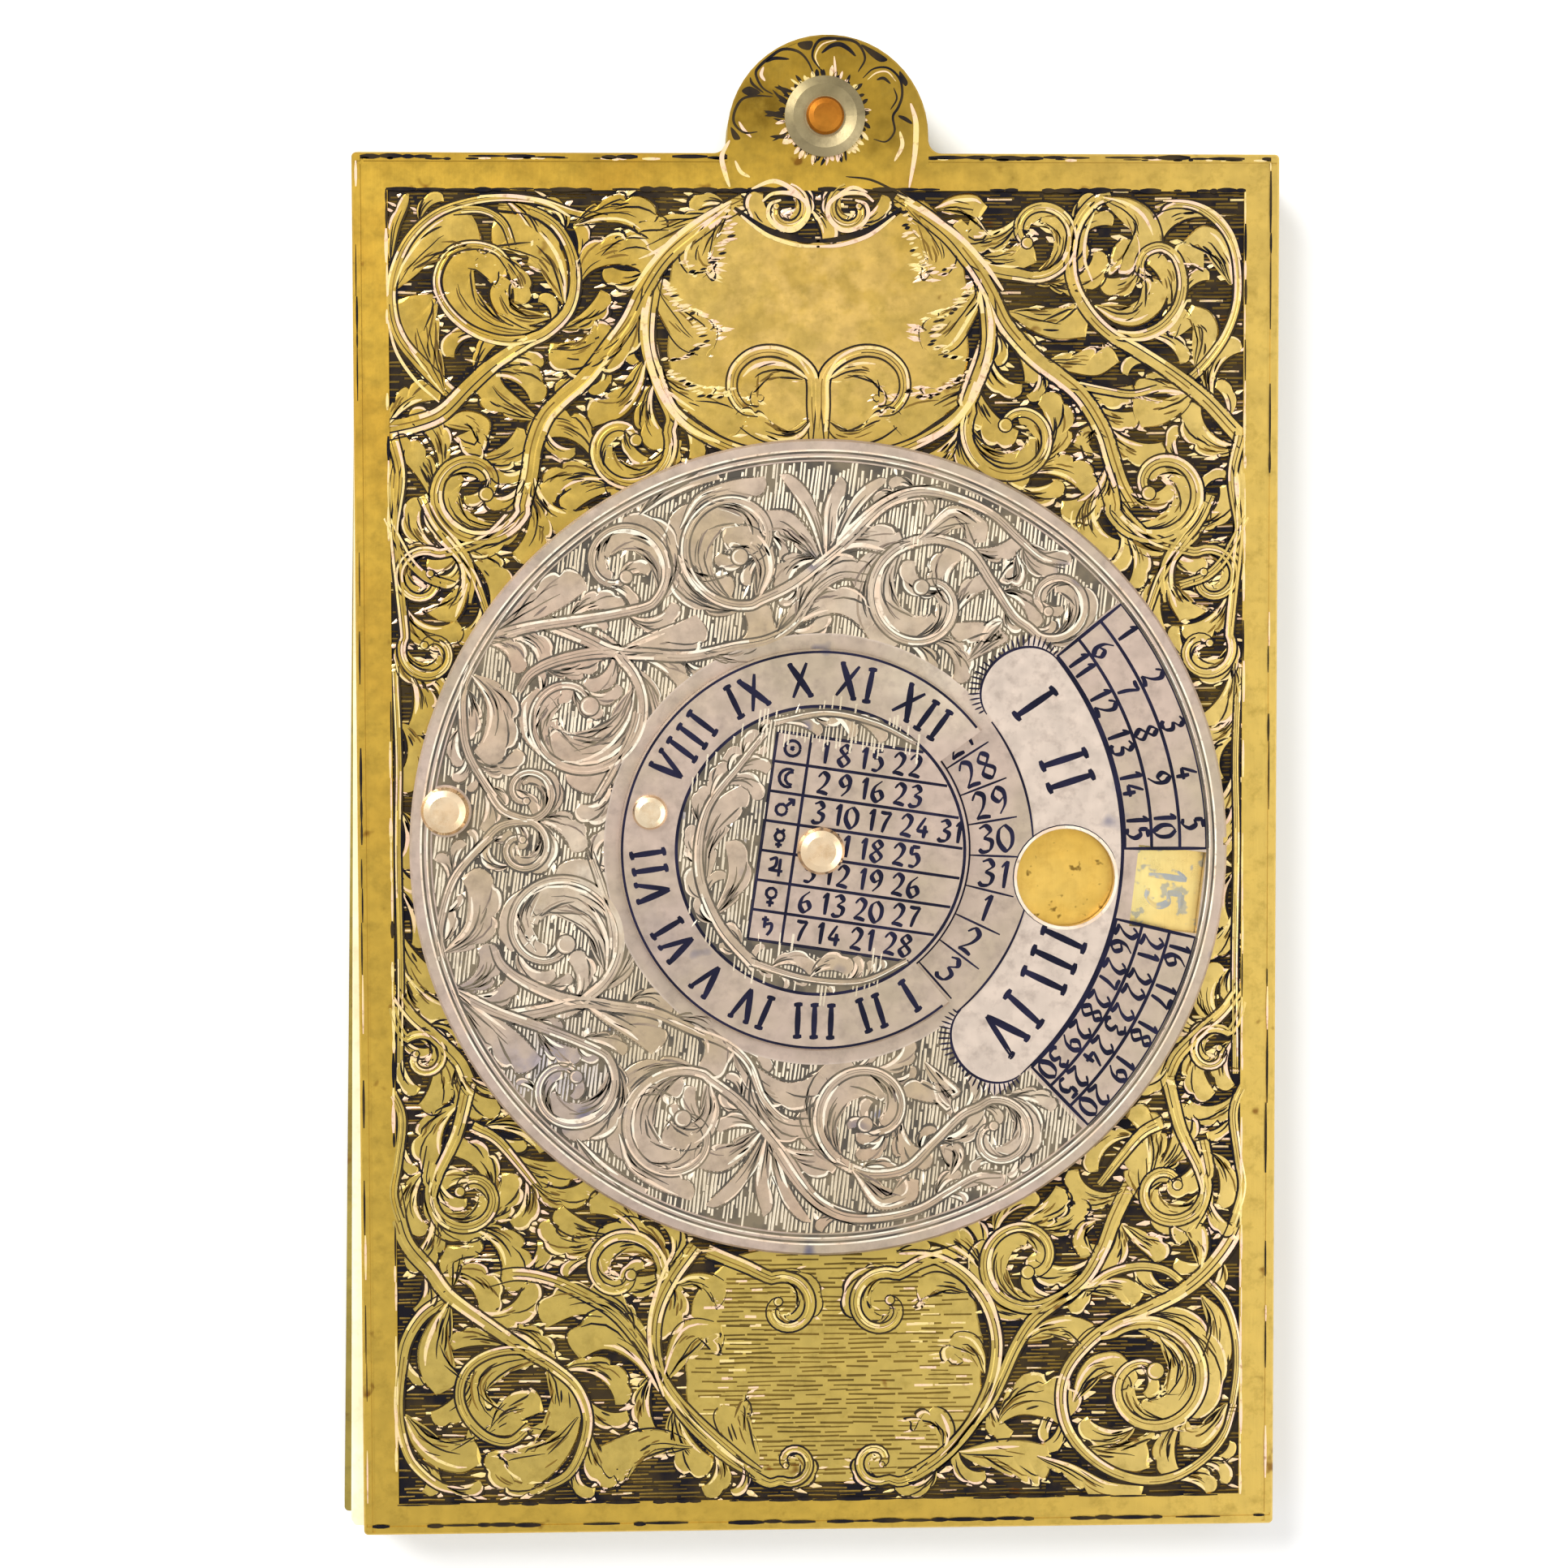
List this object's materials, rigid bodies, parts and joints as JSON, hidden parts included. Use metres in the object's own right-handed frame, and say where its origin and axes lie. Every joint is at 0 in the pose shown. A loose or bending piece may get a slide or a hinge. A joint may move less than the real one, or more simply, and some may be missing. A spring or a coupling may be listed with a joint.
{
  "type": "perpetual calendar",
  "caption": "Pocket and desk perpetual calendar: engraved brass plate with a lug, two turning silver dials, bone note leaves and a back plate, all swinging on one rivet.",
  "frame": {"origin": "on the flat back face, under the common centre of the two dials", "axes": "+Y from the dials towards the lug, +Z out of the engraved front, +X to the right as seen from the front"},
  "size_m": [0.0616, 0.0981, 0.0077],
  "materials": {
    "engraved_brass": "engraved, darkened in the ground, hand polished",
    "plain_brass": "hand polished, fine scratches",
    "copper_rivet": "hammered, copper coloured",
    "silver_washer": "turned silver",
    "pin_brass": "polished, copper tinged",
    "knob_brass": "polished, copper tinged",
    "dial_silver": "engraved, tarnished silver",
    "bone": "polished bone, yellowed at the edges"
  },
  "bodies": {
    "back": {"back_plate": "plain_brass", "lug_rivet": "copper_rivet", "lug_washer": "silver_washer"},
    "front": {"front_plate": "engraved_brass", "centre_pin": "pin_brass", "pin_base_washer": "pin_brass", "dial_washer": "pin_brass"},
    "moon_dial": {"moon_dial": "dial_silver", "moon_dial_knob": "knob_brass"},
    "weekday_dial": {"weekday_dial": "dial_silver", "weekday_dial_knob": "knob_brass"},
    "note_leaf_1": {"note_leaf_1": "bone"},
    "note_leaf_2": {"note_leaf_2": "bone"},
    "note_leaf_3": {"note_leaf_3": "bone"},
    "note_leaf_4": {"note_leaf_4": "bone"},
    "note_leaf_5": {"note_leaf_5": "bone"},
    "note_leaf_6": {"note_leaf_6": "bone"}
  },
  "joints": [
    {"name": "front_swing", "type": "hinge", "parent": "back", "child": "front", "pos_m": [0.00045, 0.04735, 0], "axis": [0, 0, 1], "continuous": true},
    {"name": "moon_dial_spin", "type": "hinge", "parent": "front", "child": "moon_dial", "pos_m": [0, 0, 0], "axis": [0, 0, 1], "continuous": true},
    {"name": "weekday_dial_spin", "type": "hinge", "parent": "front", "child": "weekday_dial", "pos_m": [0, 0, 0], "axis": [0, 0, 1], "continuous": true},
    {"name": "note_leaf_1_swing", "type": "hinge", "parent": "back", "child": "note_leaf_1", "pos_m": [0.00045, 0.04735, 0], "axis": [0, 0, 1], "continuous": true},
    {"name": "note_leaf_2_swing", "type": "hinge", "parent": "back", "child": "note_leaf_2", "pos_m": [0.00045, 0.04735, 0], "axis": [0, 0, 1], "continuous": true},
    {"name": "note_leaf_3_swing", "type": "hinge", "parent": "back", "child": "note_leaf_3", "pos_m": [0.00045, 0.04735, 0], "axis": [0, 0, 1], "continuous": true},
    {"name": "note_leaf_4_swing", "type": "hinge", "parent": "back", "child": "note_leaf_4", "pos_m": [0.00045, 0.04735, 0], "axis": [0, 0, 1], "continuous": true},
    {"name": "note_leaf_5_swing", "type": "hinge", "parent": "back", "child": "note_leaf_5", "pos_m": [0.00045, 0.04735, 0], "axis": [0, 0, 1], "continuous": true},
    {"name": "note_leaf_6_swing", "type": "hinge", "parent": "back", "child": "note_leaf_6", "pos_m": [0.00045, 0.04735, 0], "axis": [0, 0, 1], "continuous": true}
  ]
}
